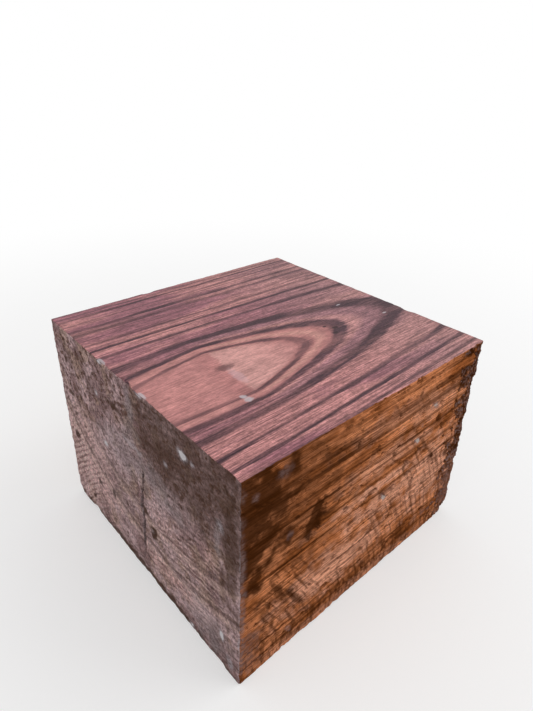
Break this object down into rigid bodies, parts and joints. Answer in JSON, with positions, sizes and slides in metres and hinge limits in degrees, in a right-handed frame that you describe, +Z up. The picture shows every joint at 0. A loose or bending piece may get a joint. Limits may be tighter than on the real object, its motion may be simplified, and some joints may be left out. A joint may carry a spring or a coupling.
{
  "type": "wood turning blank",
  "caption": "Rosewood turning blank: one rough-sawn block with waxed sides and a planed top, ready to mount on a lathe.",
  "frame": {"origin": "middle of the sawn base, under the centre of the block's box", "axes": "+X along the grain, +Y across it, +Z up out of the planed face"},
  "size_m": [0.1039, 0.1, 0.074],
  "materials": {
    "rosewood": "planed smooth on top, rough sawn and waxed on the sides and base"
  },
  "bodies": {
    "root": {"turning_blank": "rosewood"}
  },
  "joints": []
}
